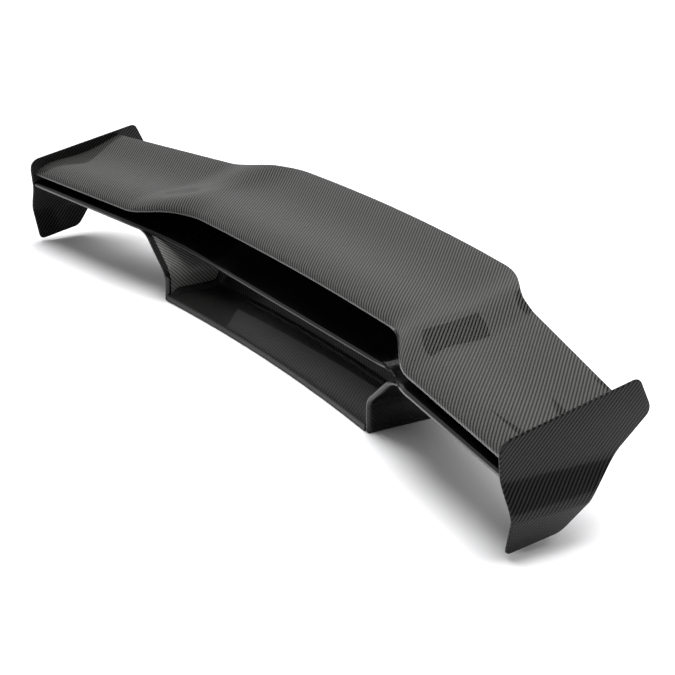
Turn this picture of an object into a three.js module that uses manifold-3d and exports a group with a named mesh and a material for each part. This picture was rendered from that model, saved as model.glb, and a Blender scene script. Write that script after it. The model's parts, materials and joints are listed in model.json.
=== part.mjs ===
import * as THREE from 'three';
import { mergeVertices } from 'three/addons/utils/BufferGeometryUtils.js';
import Module from 'manifold-3d';

// Twin-plane racing rear wing on two flared fins and a ducktail base.
// Millimetres, +Z up, +Y towards the rear of the car, +X towards its right side.
// While it is built, z = 0 is the front top corner of the endplates.

// Overall sizes
const plateSpan = 1810;         // across the outer faces of the two endplates
const centreChord = 265;        // upper plane, front to rear on the centre line
const centreLeadingY = 161;     // front of the upper plane on the centre line
const baseBottomZ = -190;       // underside of the base and of the fin feet
const clearance = 0.3;          // gap between pieces that touch

// Plan shape: outboard edges run straight to the tips, and the middle is set back behind them
const tipLeadingY = 13.5;
const tipTrailingY = 220.6;
const tipLipY = 8.5;
const leadingSlope = 0.165;
const trailingSlope = 0.3075;
const lipSlope = 0.15;
const middleX = 370;            // half width of the set-back middle
const leadingBow = 10;
const trailingBow = 20;
const lipSetBack = 7;           // front of the blade ahead of the upper plane on the centre line
const leadingStep = [360, 535]; // where each line passes from the middle to the outboard part
const trailingStep = [350, 500];
const lipStep = [310, 560];

// Upper plane
const tipLeadingZ = -26;
const tipTrailingZ = 33;
const stepRise = 16;            // the middle stands this much higher than the tips
const raiseStep = [430, 555];
const camberHeight = 1.2;
const camberCross = 0.4;
const upperNoseDepth = 10;
const upperDepth = 18;
const trailingDepth = 3;
const deepestShare = 0.3;
const noseShare = 0.035;
const skin = 2;
const skinJoint = 0.05;         // where the lower skin butts against the nose, share of chord

// Lower blade
const bladeShare = 0.64;        // the blade ends under this share of the upper plane's chord
const tipLipZ = -55;
const lipDrop = 46;             // the middle of the blade's front edge hangs this much lower
const bladeNoseDepth = 10;
const bladeDepth = 14;
const slotGap = 13;
const bladeHollow = 1.6;

// Structure inside the planes
const sparFront = 0.23;
const sparRear = 0.36;
const sparWall = 3;
const channelFront = 0.245;     // the spar is a channel between its two flanges
const channelRear = 0.38;
const ribEnd = 0.86;
const bondLine = 0.8;           // adhesive between a skin and what it is bonded to
const finBondLine = 1.5;        // adhesive round the blade's hardpoints and over the fins
const tipRibWidth = 8;
const midRibWidth = 4;
const midRibX = 470;
const bracketWidth = 5;
const bracketX = [-440, -150, 150, 440];
const bracketFront = 0.7;
const bracketRear = 0.95;
const hardpointWidth = 70;
const hardpointX = 478;
const hardpointFront = 0.14;
const hardpointRear = 0.7;
const dowelRadius = 3;
const dowelPlateDepth = 4;
const dowelUpperFront = 0.16;   // places along the chord of each plane
const dowelUpperRear = 0.55;
const dowelBlade = 0.3;

// Endplates
const plateThickness = 6;
const plateLead = 13;           // the plate starts this far ahead of the planes
const flareTopZ = -54;
const flareFoldZ = -122;
const flareBottomZ = -187;
const flareOut = 24;
const tuckIn = 22;
const plateRows = 26;           // rows of facets that carry the flare
const plateSheet = [145, -70, 320, 260]; // middle along and up, length and height before trimming
const plateCorners = [          // [back from the front top corner, up, corner radius]
  [0, 0, 25],
  [17, flareBottomZ, 12],
  [116, -170, 12],
  [170, -109, 15],
  [291, -6, 16],
  [263, 52, 12],
];

// Fins
const finX = 397;
const finThickness = 13;
const finSkin = 2.5;
const finFoot = 40;             // height of the upright foot below the bend
const finBendRadius = 35;
const finTopX = 500;            // where a fin has turned level under the blade
const finFillet = 60;
const finTopTrim = 1;
const finFeather = 4.5;         // thickness left where the outer face of a fin meets the blade
const finFrontY = 87;
const finRearY = 290;
const finTopRearY = 236;
const finTopSetBack = 2;        // the top starts this far behind the blade's front edge
const finEdge = 9;
const finFootFloor = 4;
const finSpare = 20;            // extra length at both ends, trimmed off by the side view
const finStep = 29;             // spacing of a fin's facets front to rear
const finTopZ = 80;             // the side view is drawn up to here and trimmed by the blade
const finTopCorner = [30, -40]; // rear top corner: slope and height
const finFrontBendZ = -80;      // the front edge is upright above this
const postWidth = 34;
const postFrontY = 118;
const postRearY = 232;
const footBoltRadius = 3.3;

// Ducktail base
const baseBow = 17;
const baseWall = 3;
const lipHeight = 11.5;
const shelfDepth = 122;
const crestY = 156;
const crestHeight = 67;
const baseDepth = 200;
const panelThickness = 3;
const baseRibWidth = 7;
const insertX = [-300, 0, 300];
const insertY = [40, 152];
const insertBore = 2.5;
const insertRadius = 6;
const insertFlange = 9;
const insertHeight = 6;
const drillDepth = 20;          // how far a hole runs past the surface it starts from
const sealThickness = 2;
const sealWidth = 10;

// Bolts through the base ends into the fins: place along the base and height above its underside
const sideBolts = [[150, 45], [162, 20]];
const boltRadius = 3;
const boltHeadRadius = 5.5;
const boltHeadHeight = 4;

const tipX = plateSpan / 2 - plateThickness - clearance;
const finBendZ = baseBottomZ + finFoot;
const wasm = await Module();
wasm.setup();

const carbon = { color: 0x1c1d1f, roughness: 0.22, metalness: 0 };
const blackCarbon = { color: 0x0a0a0b, roughness: 0.12, metalness: 0 };
const alloy = { color: 0xb4b7bb, roughness: 0.38, metalness: 1 };
const steel = { color: 0x8a8d91, roughness: 0.3, metalness: 1 };
const foamCore = { color: 0xc9b98a, roughness: 0.85, metalness: 0 };
const rubber = { color: 0x151515, roughness: 0.8, metalness: 0 };

const wing = new THREE.Group();

function add(name, geometry, material) {
  const mesh = new THREE.Mesh(geometry, new THREE.MeshStandardMaterial(material));
  mesh.name = name;
  wing.add(mesh);
}

// Geometry helpers

function weld(geometry) {
  const bare = new THREE.BufferGeometry();
  bare.setAttribute('position', geometry.attributes.position.clone());
  if (geometry.index) bare.setIndex(geometry.index.clone());
  return mergeVertices(bare);
}

function toSolid(geometry) {
  const welded = weld(geometry);
  const vertProperties = new Float32Array(welded.attributes.position.array);
  const triVerts = new Uint32Array(welded.index.array);
  return new wasm.Manifold(new wasm.Mesh({ numProp: 3, vertProperties, triVerts }));
}

function toGeometry(solid) {
  const { vertProperties, triVerts } = solid.getMesh();
  const geometry = new THREE.BufferGeometry();
  geometry.setAttribute('position', new THREE.BufferAttribute(vertProperties, 3));
  geometry.setIndex(new THREE.BufferAttribute(triVerts, 1));
  return geometry;
}

function cut(geometry, ...tools) {
  const result = tools.reduce((rest, tool) => rest.subtract(toSolid(tool)), toSolid(geometry));
  return toGeometry(result);
}

function common(first, ...others) {
  const result = others.reduce((rest, other) => rest.intersect(toSolid(other)), toSolid(first));
  return toGeometry(result);
}

// The same piece on the other side of the car.
function mirrored(geometry) {
  const copy = weld(geometry).scale(-1, 1, 1);
  copy.index.array.reverse();
  return copy;
}

function shapeOf(points) {
  return new THREE.Shape(points.map(([a, b]) => new THREE.Vector2(a, b)));
}

function rectangle(fromA, toA, fromB, toB) {
  return shapeOf([[fromA, fromB], [toA, fromB], [toA, toB], [fromA, toB]]);
}

// An outline with each corner [a, b, radius] rounded off.
function roundedShape(corners) {
  const shape = new THREE.Shape();
  corners.forEach(([a, b, radius], i) => {
    const corner = new THREE.Vector2(a, b);
    const [before, after] = [corners.at(i - 1), corners[(i + 1) % corners.length]].map(([c, d]) => {
      return new THREE.Vector2(c, d).sub(corner).setLength(radius).add(corner);
    });
    if (i === 0) shape.moveTo(before.x, before.y);
    else shape.lineTo(before.x, before.y);
    shape.quadraticCurveTo(a, b, after.x, after.y);
  });
  return shape;
}

// Moves every point of a polyline sideways, to its right for a positive distance.
function offsetPath(points, distance) {
  return points.map(([a, b], i) => {
    const [fromA, fromB] = points[Math.max(i - 1, 0)];
    const [toA, toB] = points[Math.min(i + 1, points.length - 1)];
    const along = new THREE.Vector2(toA - fromA, toB - fromB).normalize();
    return [a + along.y * distance, b - along.x * distance];
  });
}

// Extrudes a section through a list of stations and puts each point where place says.
function loft(section, stations, place) {
  const steps = stations.length - 1;
  const geometry = new THREE.ExtrudeGeometry(section, { depth: steps, steps, bevelEnabled: false });
  const position = geometry.attributes.position;
  for (let i = 0; i < position.count; i += 1) {
    const station = stations[Math.round(position.getZ(i))];
    const [y, z] = place(station, position.getX(i), position.getY(i));
    position.setXYZ(i, station, y, z);
  }
  return weld(geometry);
}

// A section drawn in (y, z) and extruded straight from one x to another.
function alongX(section, fromX, toX) {
  return loft(section, [fromX, toX], (x, y, z) => [y, z]);
}

function cylinder(radius, length, sides = 16) {
  return new THREE.CylinderGeometry(radius, radius, length, sides);
}

function rodAlongX(radius, fromX, toX, y, z) {
  return cylinder(radius, toX - fromX).rotateZ(-Math.PI / 2).translate((fromX + toX) / 2, y, z);
}

function uprightRod(radius, x, y, fromZ, toZ) {
  return cylinder(radius, toZ - fromZ).rotateX(Math.PI / 2).translate(x, y, (fromZ + toZ) / 2);
}

// Surfaces of the two planes

// 0 in the middle of the span and 1 outboard of a step.
const outboard = (x, [from, to]) => THREE.MathUtils.smoothstep(Math.abs(x), from, to);

// A line in plan: bowed in the middle, straight outboard, with a step between them.
function planLine(x, middleY, tipY, slope, step) {
  const outerY = tipY + slope * (tipX - Math.abs(x));
  return THREE.MathUtils.lerp(middleY, outerY, outboard(x, step));
}

const bowed = (x, y, bow) => y - bow * (x / middleX) ** 2;

function leadingY(x) {
  return planLine(x, bowed(x, centreLeadingY, leadingBow), tipLeadingY, leadingSlope, leadingStep);
}

function trailingY(x) {
  const middle = bowed(x, centreLeadingY + centreChord, trailingBow);
  return planLine(x, middle, tipTrailingY, trailingSlope, trailingStep);
}

const lipY = (x) => planLine(x, centreLeadingY - lipSetBack, tipLipY, lipSlope, lipStep);
const chord = (x) => trailingY(x) - leadingY(x);
const bladeChord = (x) => leadingY(x) + bladeShare * chord(x) - lipY(x);

// How much higher the upper plane stands at x than at its tips.
const raise = (x) => stepRise * (1 - outboard(x, raiseStep));

function upperTopZ(x, u) {
  const camber = camberHeight * chord(x) * u * (1 - u) ** 2 * (camberCross - u);
  return THREE.MathUtils.lerp(tipLeadingZ, tipTrailingZ, u) + raise(x) + camber;
}

// Depth of a plane below its top surface: deepest at deepestShare, thin at the rear edge.
function depthAt(u, noseDepth, fullDepth) {
  const reach = u < deepestShare ? 1 - u / deepestShare : (u - deepestShare) / (1 - deepestShare);
  const endDepth = u < deepestShare ? noseDepth : trailingDepth;
  return fullDepth - (fullDepth - endDepth) * reach ** 2;
}

const upperDepthAt = (u) => depthAt(u, upperNoseDepth, upperDepth);
const bladeDepthAt = (u) => depthAt(u, bladeNoseDepth, bladeDepth);
const lipZ = (x) => tipLipZ - lipDrop * (1 - outboard(x, lipStep));

function bladeTopZ(x, u) {
  const front = lipZ(x) + bladeNoseDepth / 2;
  const rear = upperTopZ(x, bladeShare) - upperDepthAt(bladeShare) - slotGap;
  return THREE.MathUtils.lerp(front, rear, u ** bladeHollow);
}

// Sections of the planes are drawn as (percent of chord, minus the depth below the top surface).
const percent = 100;
const upperPoint = (x, s, v) => {
  const u = s / percent;
  return [leadingY(x) + u * chord(x), upperTopZ(x, u) + v];
};
const bladePoint = (x, s, v) => {
  const u = s / percent;
  return [lipY(x) + u * bladeChord(x), bladeTopZ(x, Math.max(u, 0)) + v];
};

// Stations across the span, closer together where the planes step.
function allStations() {
  const [stepFrom, stepTo] = lipStep;
  const half = [1 / 3, 2 / 3].map((share) => share * stepFrom);
  for (let i = 0; i <= 8; i += 1) half.push(THREE.MathUtils.lerp(stepFrom, stepTo, i / 8));
  for (let i = 1; i <= 4; i += 1) half.push(THREE.MathUtils.lerp(stepTo, tipX, i / 4));
  return [...half.map((x) => -x).reverse(), 0, ...half];
}

const spanStations = allStations();

// The stations of a piece that spans only part of the width.
function stationsBetween(from, to) {
  return [from, ...spanStations.filter((x) => x > from + 1 && x < to - 1), to];
}

// Both planes run straight from one station to the next, and so does all that fits to them.
function straightBetweenStations(point) {
  return (x, s, v) => {
    const next = Math.max(spanStations.findIndex((station) => station >= Math.min(x, tipX)), 1);
    const [fromX, toX] = [spanStations[next - 1], spanStations[next]];
    const share = (x - fromX) / (toX - fromX);
    const [from, to] = [point(fromX, s, v), point(toX, s, v)];
    return [THREE.MathUtils.lerp(from[0], to[0], share), THREE.MathUtils.lerp(from[1], to[1], share)];
  };
}

const onUpper = straightBetweenStations(upperPoint);
const onBlade = straightBetweenStations(bladePoint);

function shares(from, to) {
  const inner = [0.1, 0.15, 0.2, 0.3, 0.4, 0.5, 0.6, 0.7, 0.8, 0.9].filter((u) => u > from && u < to);
  return [from, ...inner, to];
}

// Round nose from the top surface down to the bottom one.
function nosePoints(depth) {
  const half = depth / 2;
  return [90, 60, 30, 0, -30, -60, -90].map((degrees) => {
    const turn = THREE.MathUtils.degToRad(degrees);
    return [percent * noseShare * (1 - Math.cos(turn)), half * Math.sin(turn) - half];
  });
}

const topWall = (depthOf) => (u) => Math.min(skin, depthOf(u) / 2 - clearance / 2);
const bottomWall = (depthOf) => (u) => Math.max(depthOf(u) - skin, depthOf(u) / 2 + clearance / 2);

// Region of a section between two depths.
function band(from, to, upper, lower) {
  const places = shares(from, to);
  const above = places.map((u) => [percent * u, -upper(u)]);
  const below = places.map((u) => [percent * u, -lower(u)]).reverse();
  return shapeOf([...above, ...below]);
}

function topSkinSection(depthOf) {
  const inner = shares(skinJoint, 1).map((u) => [percent * u, -topWall(depthOf)(u)]);
  const outer = shares(skinJoint, 1).map((u) => [percent * u, 0]).reverse();
  const joint = [percent * skinJoint, -depthOf(skinJoint)];
  return shapeOf([...outer, ...nosePoints(depthOf(noseShare)), joint, ...inner]);
}

const jointGap = clearance / bladeChord(tipX);

function bottomSkinSection(depthOf) {
  return band(skinJoint + jointGap, 1, bottomWall(depthOf), depthOf);
}

// Region between the skins, with room for adhesive above and below.
function coreSection(from, to, depthOf, adhesive = bondLine) {
  const upper = (u) => topWall(depthOf)(u) + adhesive;
  const lower = (u) => bottomWall(depthOf)(u) - adhesive;
  return band(from, to, upper, lower);
}

// Upper plane

function addUpperPlane() {
  add('upper_plane_top_skin', loft(topSkinSection(upperDepthAt), spanStations, onUpper), carbon);
  add('upper_plane_bottom_skin', loft(bottomSkinSection(upperDepthAt), spanStations, onUpper), blackCarbon);

  const sparLimit = tipX - tipRibWidth - clearance;
  const core = coreSection(sparFront, sparRear, upperDepthAt);
  const whole = loft(core, stationsBetween(-sparLimit, sparLimit), onUpper);
  const wall = skin + sparWall;
  const channel = band(channelFront, channelRear, () => wall, (u) => upperDepthAt(u) - wall);
  add('upper_plane_spar', cut(whole, loft(channel, spanStations, onUpper)), alloy);
}

function addUpperRibs(side, label) {
  const tipRib = loft(coreSection(skinJoint + 2 * jointGap, ribEnd, upperDepthAt),
    side > 0 ? [tipX - tipRibWidth, tipX] : [-tipX, tipRibWidth - tipX], onUpper);
  const holes = dowelPlaces.filter((dowel) => dowel.plane === 'upper').map((dowel) => {
    const [y, z] = dowel.at();
    return rodAlongX(dowelRadius + clearance, -tipX - 1, tipX + 1, y, z);
  });
  add(`upper_tip_rib_${label}`, cut(tipRib, ...holes), foamCore);

  const x = side * midRibX;
  const midRib = coreSection(sparRear + jointGap, ribEnd, upperDepthAt);
  add(`upper_mid_rib_${label}`, loft(midRib, [x - midRibWidth / 2, x + midRibWidth / 2], onUpper), foamCore);
}

// Lower blade

function addBlade() {
  add('blade_top_skin', loft(topSkinSection(bladeDepthAt), spanStations, onBlade), blackCarbon);
  add('blade_bottom_skin', loft(bottomSkinSection(bladeDepthAt), spanStations, onBlade), carbon);
}

function addBladeRibs(side, label) {
  const tipRib = loft(coreSection(skinJoint + 2 * jointGap, ribEnd, bladeDepthAt),
    side > 0 ? [tipX - tipRibWidth, tipX] : [-tipX, tipRibWidth - tipX], onBlade);
  const holes = dowelPlaces.filter((dowel) => dowel.plane === 'blade').map((dowel) => {
    const [y, z] = dowel.at();
    return rodAlongX(dowelRadius + clearance, -tipX - 1, tipX + 1, y, z);
  });
  add(`blade_tip_rib_${label}`, cut(tipRib, ...holes), foamCore);

  const from = side * hardpointX - hardpointWidth / 2;
  const stations = stationsBetween(from, from + hardpointWidth);
  const block = coreSection(hardpointFront, hardpointRear, bladeDepthAt, finBondLine);
  add(`fin_hardpoint_${label}`, loft(block, stations, onBlade), alloy);
}

// Small brackets that hold the upper plane over the rear edge of the blade.
function addSlotBrackets() {
  const section = shapeOf([[0, 0], [0.5, 0], [1, 0], [1, 1], [0.5, 1], [0, 1]]);
  const place = (x, along, up) => {
    const u = THREE.MathUtils.lerp(bracketFront, bracketRear, along);
    const [y, floor] = onBlade(x, percent * u, bondLine);
    const upperU = (y - leadingY(x)) / chord(x);
    const [, ceiling] = onUpper(x, percent * upperU, -upperDepthAt(upperU) - bondLine);
    return [y, THREE.MathUtils.lerp(floor, ceiling, up)];
  };
  bracketX.forEach((x, i) => {
    const stations = [x - bracketWidth / 2, x + bracketWidth / 2];
    add(`slot_bracket_${i + 1}`, loft(section, stations, place), alloy);
  });
}

// Endplates and the dowels that locate them on the tip ribs

const middleOf = (place, depthOf, u) => place(tipX, percent * u, -depthOf(u) / 2);
const dowelPlaces = [
  { name: 'upper_front', plane: 'upper', at: () => middleOf(onUpper, upperDepthAt, dowelUpperFront) },
  { name: 'upper_rear', plane: 'upper', at: () => middleOf(onUpper, upperDepthAt, dowelUpperRear) },
  { name: 'blade', plane: 'blade', at: () => middleOf(onBlade, bladeDepthAt, dowelBlade) },
];

// How far the plate leans out from its flat upper part.
function flare(z) {
  if (z > flareFoldZ) return flareOut * THREE.MathUtils.smoothstep(-z, -flareTopZ, -flareFoldZ);
  return flareOut - tuckIn * (flareFoldZ - z) / (flareFoldZ - flareBottomZ);
}

function endplate() {
  const frontY = leadingY(tipX) - plateLead;
  const [along, up, length, height] = plateSheet;
  const sheet = new THREE.BoxGeometry(plateThickness, length, height, 1, 1, plateRows);
  sheet.translate(plateSpan / 2 - plateThickness / 2, along, up);
  const position = sheet.attributes.position;
  for (let i = 0; i < position.count; i += 1) {
    position.setX(i, position.getX(i) + flare(position.getZ(i)));
  }
  const outline = roundedShape(plateCorners);
  const shaped = common(sheet, alongX(outline, tipX - plateThickness, plateSpan / 2 + 2 * flareOut));
  shaped.translate(0, frontY, 0);
  const holes = dowelPlaces.map((dowel) => {
    const [y, z] = dowel.at();
    const from = tipX - plateThickness;
    return rodAlongX(dowelRadius + clearance, from, tipX + clearance + dowelPlateDepth + clearance, y, z);
  });
  return cut(shaped, ...holes);
}

function addEndplates() {
  const plate = endplate();
  add('endplate_right', plate, carbon);
  add('endplate_left', mirrored(plate), carbon);
  dowelPlaces.forEach((dowel) => {
    const [y, z] = dowel.at();
    const rod = rodAlongX(dowelRadius, tipX - tipRibWidth, tipX + clearance + dowelPlateDepth, y, z);
    add(`tip_dowel_${dowel.name}_right`, rod, steel);
    add(`tip_dowel_${dowel.name}_left`, mirrored(rod), steel);
  });
}

// Fins

// Underside of the blade above the top of a fin.
function finCeiling(y) {
  const u = THREE.MathUtils.clamp((y - lipY(finTopX)) / bladeChord(finTopX), noseShare, 1);
  return bladeTopZ(finTopX, u) - bladeDepthAt(u);
}

// Length of a fin's straight part that carries it up to its ceiling when it leans out by turn.
function finStraight(turn, rise) {
  const bends = finBendRadius * Math.sin(turn) + finFillet * (1 - Math.sin(turn));
  return (rise - bends) / Math.cos(turn);
}

// Middle line of a fin at one place along it, seen from the front: upright foot, bend, straight
// part, and a fillet that turns level under the blade.
function finPath(y) {
  const rise = finCeiling(y) + finThickness / 2 - finFeather - finBendZ;
  const reach = (turn) => finBendRadius * (1 - Math.cos(turn)) + finStraight(turn, rise) * Math.sin(turn)
    + finFillet * Math.cos(turn);
  let [low, high] = [0, 1.4];
  for (let i = 0; i < 40; i += 1) {
    const middle = (low + high) / 2;
    if (reach(middle) < finTopX - finX) low = middle;
    else high = middle;
  }
  const turn = low;
  const points = [[finX, baseBottomZ]];
  for (let i = 0; i <= 4; i += 1) {
    const angle = (i / 4) * turn;
    points.push([finX + finBendRadius * (1 - Math.cos(angle)), finBendZ + finBendRadius * Math.sin(angle)]);
  }
  const [bendX, bendZ] = points.at(-1);
  const straight = finStraight(turn, rise);
  const [startX, startZ] = [bendX + straight * Math.sin(turn), bendZ + straight * Math.cos(turn)];
  for (let i = 0; i <= 5; i += 1) {
    const angle = turn + (i / 5) * (Math.PI / 2 - turn);
    points.push([
      startX + finFillet * (Math.cos(turn) - Math.cos(angle)),
      startZ + finFillet * (Math.sin(angle) - Math.sin(turn)),
    ]);
  }
  return points;
}

// Slice of a fin between two distances from its middle line.
function finSlice(inner, outer) {
  const count = finPath(finFrontY).length;
  const rows = Array.from({ length: count }, (unused, i) => i);
  const outline = shapeOf([...rows.map((i) => [i, outer]), ...rows.map((i) => [i, inner]).reverse()]);
  const stations = [];
  for (let y = finFrontY - finSpare; y < finRearY + finSpare; y += finStep) stations.push(y);
  const steps = stations.length - 1;
  const geometry = new THREE.ExtrudeGeometry(outline, { depth: steps, steps, bevelEnabled: false });
  const position = geometry.attributes.position;
  for (let i = 0; i < position.count; i += 1) {
    const y = stations[Math.round(position.getZ(i))];
    const [x, z] = offsetPath(finPath(y), position.getY(i))[Math.round(position.getX(i))];
    position.setXYZ(i, x, y, z);
  }
  return geometry;
}

// Side view of a fin, drawn smaller by edge at the front, rear and end and by foot at the bottom.
// The whole fin ends squarely just short of finTopX.
function finSide(edge, foot) {
  const topFrontY = lipY(finTopX) + finTopSetBack;
  const [lean, cornerZ] = finTopCorner;
  const outline = shapeOf([
    [finFrontY + edge, baseBottomZ + foot],
    [finFrontY + edge, finBendZ],
    [topFrontY + edge, finFrontBendZ],
    [topFrontY + edge, finTopZ],
    [finTopRearY - edge - lean, finTopZ],
    [finTopRearY - edge, cornerZ],
    [finRearY - edge, baseBottomZ + foot],
  ]);
  return alongX(outline, 0, finTopX - finTopTrim - edge);
}

// Everything above the underside of the blade, kept clear of the fins.
function spaceAboveBlade(gap) {
  const bottom = shares(noseShare, 1).map((u) => [percent * u, -bladeDepthAt(u) - gap]);
  const [ahead, behind, high] = [-percent / 2, percent * 1.5, 2 * percent];
  const [first, last] = [[ahead, bottom[0][1]], [behind, bottom.at(-1)[1]]];
  const section = shapeOf([first, ...bottom, last, [behind, high], [ahead, high]]);
  return loft(section, spanStations.filter((x) => x >= 0), onBlade);
}

function addFins() {
  const half = finThickness / 2;
  const above = spaceAboveBlade(finBondLine);
  const footBolts = [postFrontY, postRearY].map((y) => {
    return uprightRod(footBoltRadius, finX, y, baseBottomZ - 1, baseBottomZ + drillDepth);
  });
  const sideHoles = sideBolts.map(([along, up]) => {
    const holeRadius = boltRadius + clearance;
    return rodAlongX(holeRadius, finX - half - 1, finX + half - finSkin, ...boltPlace(along, up));
  });
  const body = common(finSlice(-half, half), finSide(0, 0));
  const pocket = common(finSlice(-half - 1, half - finSkin), finSide(finEdge, finFootFloor));
  const outer = cut(body, pocket, above, ...footBolts);
  const coverSide = finSide(finEdge + clearance, finFootFloor + clearance);
  const cover = common(finSlice(-half, finSkin - half), coverSide);
  const inner = cut(cover, above, ...sideHoles);
  const pieces = [['fin_outer_shell', outer, carbon], ['fin_inner_cover', inner, carbon]];

  const reach = half - finSkin - clearance;
  [['front', postFrontY], ['rear', postRearY]].forEach(([place, y]) => {
    const block = new THREE.BoxGeometry(plateSpan, postWidth, -3 * baseBottomZ).translate(0, y, 0);
    const slice = finSlice(-reach, reach);
    const post = common(slice, finSide(finEdge + 2 * clearance, finFootFloor + clearance), block);
    const thread = uprightRod(insertBore, finX, y, baseBottomZ - 1, baseBottomZ + drillDepth);
    const cored = cut(post, above, thread, ...sideHoles);
    pieces.push([`fin_${place}_post`, cored, alloy]);
  });
  pieces.forEach(([name, geometry, material]) => {
    add(`${name}_right`, geometry, material);
    add(`${name}_left`, mirrored(geometry), material);
  });
}

// Ducktail base

const baseEndX = finX - finThickness / 2 - clearance;
const baseShift = (x) => finFrontY + baseBow * (1 - (x / baseEndX) ** 2);
const onBase = (x, y, up) => [baseShift(x) + y, baseBottomZ + up];
const boltPlace = (along, up) => [finFrontY + along, baseBottomZ + up];

// Cross-section of the base over its flat underside: lip, shelf, fascia, crest and rear face.
function basePath() {
  return [
    [0, 0],
    [0, lipHeight - 4],
    [1.2, lipHeight - 1.2],
    [4, lipHeight],
    [45, lipHeight - 1.5],
    [90, lipHeight - 1],
    [shelfDepth - 8, lipHeight + 0.5],
    [shelfDepth, lipHeight + 3],
    [shelfDepth + 6, lipHeight + 10],
    [crestY - 10, crestHeight - 6],
    [crestY - 4, crestHeight - 1],
    [crestY + 2, crestHeight],
    [crestY + 8, crestHeight - 4],
    [baseDepth, 0],
  ];
}

function baseStations(limit) {
  return [-1, -0.8, -0.6, -0.4, -0.2, 0, 0.2, 0.4, 0.6, 0.8, 1].map((share) => share * limit);
}

// Inside of the base, offset from its outer surface and flat at the given height.
function baseInside(inset, floor) {
  const path = offsetPath(basePath(), inset).slice(1, -1);
  const [frontY] = path[0];
  const [rearY, rearUp] = path.at(-1);
  const slope = (baseDepth - crestY - 8) / (crestHeight - 4);
  return [[frontY, floor], ...path, [rearY + slope * (rearUp - floor), floor]];
}

function insertSolid() {
  const seat = panelThickness + clearance;
  const profile = [
    [insertBore, 0],
    [insertRadius, 0],
    [insertRadius, seat],
    [insertFlange, seat],
    [insertFlange, insertHeight],
    [insertBore, insertHeight],
    [insertBore, 0],
  ];
  return new THREE.LatheGeometry(profile.map(([r, h]) => new THREE.Vector2(r, h)), 14).rotateX(Math.PI / 2);
}

function addBase() {
  const stations = baseStations(baseEndX);
  const shell = shapeOf([...basePath(), ...baseInside(baseWall, 0).reverse()]);
  add('base_skin', loft(shell, stations, onBase), carbon);

  const inset = baseWall + clearance;
  const [panelFront] = baseInside(inset, 0)[0];
  const [panelRear] = baseInside(inset, panelThickness).at(-1);
  const panelSection = rectangle(panelFront, panelRear, 0, panelThickness);
  const places = insertX.flatMap((x) => insertY.map((y) => [x, onBase(x, y, 0)[0]]));
  const holes = places.map(([x, y]) => {
    return uprightRod(insertRadius + clearance, x, y, baseBottomZ - 1, baseBottomZ + insertHeight);
  });
  const panel = loft(panelSection, stations, onBase);
  add('base_under_panel', cut(panel, ...holes), blackCarbon);
  places.forEach(([x, y], i) => {
    add(`deck_insert_${i + 1}`, insertSolid().translate(x, y, baseBottomZ), steel);
  });

  const ribSection = shapeOf(baseInside(inset, panelThickness + clearance));
  const ribStations = [baseEndX - baseRibWidth, baseEndX];
  const sideHoles = sideBolts.map(([along, up]) => {
    const [fromX, toX] = [baseEndX - 2 * baseRibWidth, baseEndX + 1];
    return rodAlongX(boltRadius + clearance, fromX, toX, ...boltPlace(along, up));
  });
  const rib = cut(loft(ribSection, ribStations, onBase), ...sideHoles);
  add('base_end_rib_right', rib, alloy);
  add('base_end_rib_left', mirrored(rib), alloy);
}

function addSideBolts() {
  sideBolts.forEach(([along, up], i) => {
    const place = boltPlace(along, up);
    const headX = baseEndX - baseRibWidth - clearance;
    const endX = finX + finThickness / 2 - finSkin - 2 * clearance;
    const shank = rodAlongX(boltRadius, headX - 1, endX, ...place);
    const head = rodAlongX(boltHeadRadius, headX - boltHeadHeight, headX, ...place);
    const bolt = toGeometry(toSolid(shank).add(toSolid(head)));
    add(`fin_bolt_${i + 1}_right`, bolt, steel);
    add(`fin_bolt_${i + 1}_left`, mirrored(bolt), steel);
  });
}

// Rubber strips between the wing and the deck

function addSeals() {
  const top = -clearance;
  const whole = loft(rectangle(0, baseDepth, top - sealThickness, top), baseStations(baseEndX), onBase);
  const open = rectangle(sealWidth, baseDepth - sealWidth, -2 * sealThickness, sealThickness);
  add('base_edge_seal', cut(whole, loft(open, baseStations(baseEndX - sealWidth), onBase)), rubber);

  const length = finRearY - finFrontY;
  const strip = new THREE.BoxGeometry(finThickness - 1, length - 4, sealThickness);
  strip.translate(finX, (finFrontY + finRearY) / 2, baseBottomZ + top - sealThickness / 2);
  const holes = [postFrontY, postRearY].map((y) => {
    return uprightRod(footBoltRadius, finX, y, baseBottomZ - 2 * sealThickness, baseBottomZ);
  });
  const seal = cut(strip, ...holes);
  add('fin_foot_seal_right', seal, rubber);
  add('fin_foot_seal_left', mirrored(seal), rubber);
}

addUpperPlane();
addBlade();
[[1, 'right'], [-1, 'left']].forEach(([side, label]) => {
  addUpperRibs(side, label);
  addBladeRibs(side, label);
});
addSlotBrackets();
addEndplates();
addFins();
addBase();
addSideBolts();
addSeals();

// The origin is the middle of the footprint, on the deck.
const box = new THREE.Box3().setFromObject(wing);
wing.position.set(0, -(box.min.y + box.max.y) / 2, -box.min.z);
wing.updateMatrixWorld(true);

export default wing;
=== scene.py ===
import json
import math

import bmesh
import bpy
import numpy as np
from mathutils import Matrix, Vector


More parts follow.
